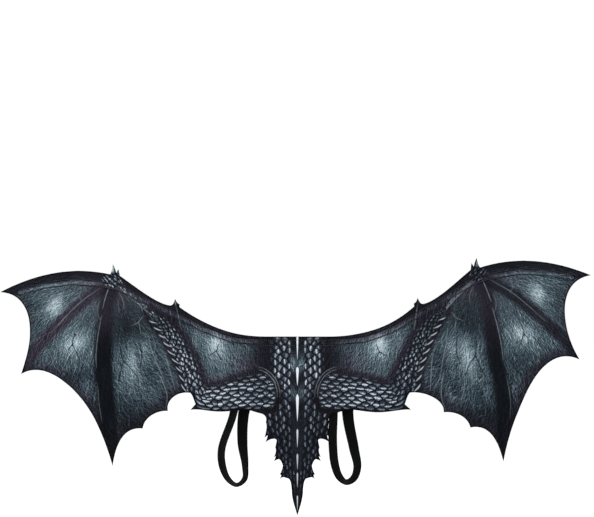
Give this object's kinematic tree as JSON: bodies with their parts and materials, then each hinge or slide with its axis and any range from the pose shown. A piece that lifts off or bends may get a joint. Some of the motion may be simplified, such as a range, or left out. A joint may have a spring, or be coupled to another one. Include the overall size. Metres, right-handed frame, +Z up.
{
  "type": "costume dragon wings",
  "caption": "Die-cut printed cloth wings with a scalloped lower edge, claw points and a barbed tail, held in shape by a sewn tape and worn with elastic arm loops.",
  "frame": {"origin": "middle of the tape behind the neck, on its wearer side, which is what rests at the nape and shoulders", "axes": "+Z up as worn, +Y the way the wearer faces, so the printed outer face looks along -Y, and +X towards the wearer's right wing"},
  "size_m": [1.0494, 0.0745, 0.4602],
  "materials": {
    "printed_cloth": "smooth crinkled polyester, printed violet-black and grey-teal on the outer face and teal on the inner face",
    "binding_tape": "black woven polyester tape, matt",
    "elastic_strap": "black ribbed woven elastic, matt with a faint sheen"
  },
  "bodies": {
    "root": {"wing_cloth": "printed_cloth", "edge_tape": "binding_tape", "strap_left": "elastic_strap", "strap_right": "elastic_strap"}
  },
  "joints": []
}
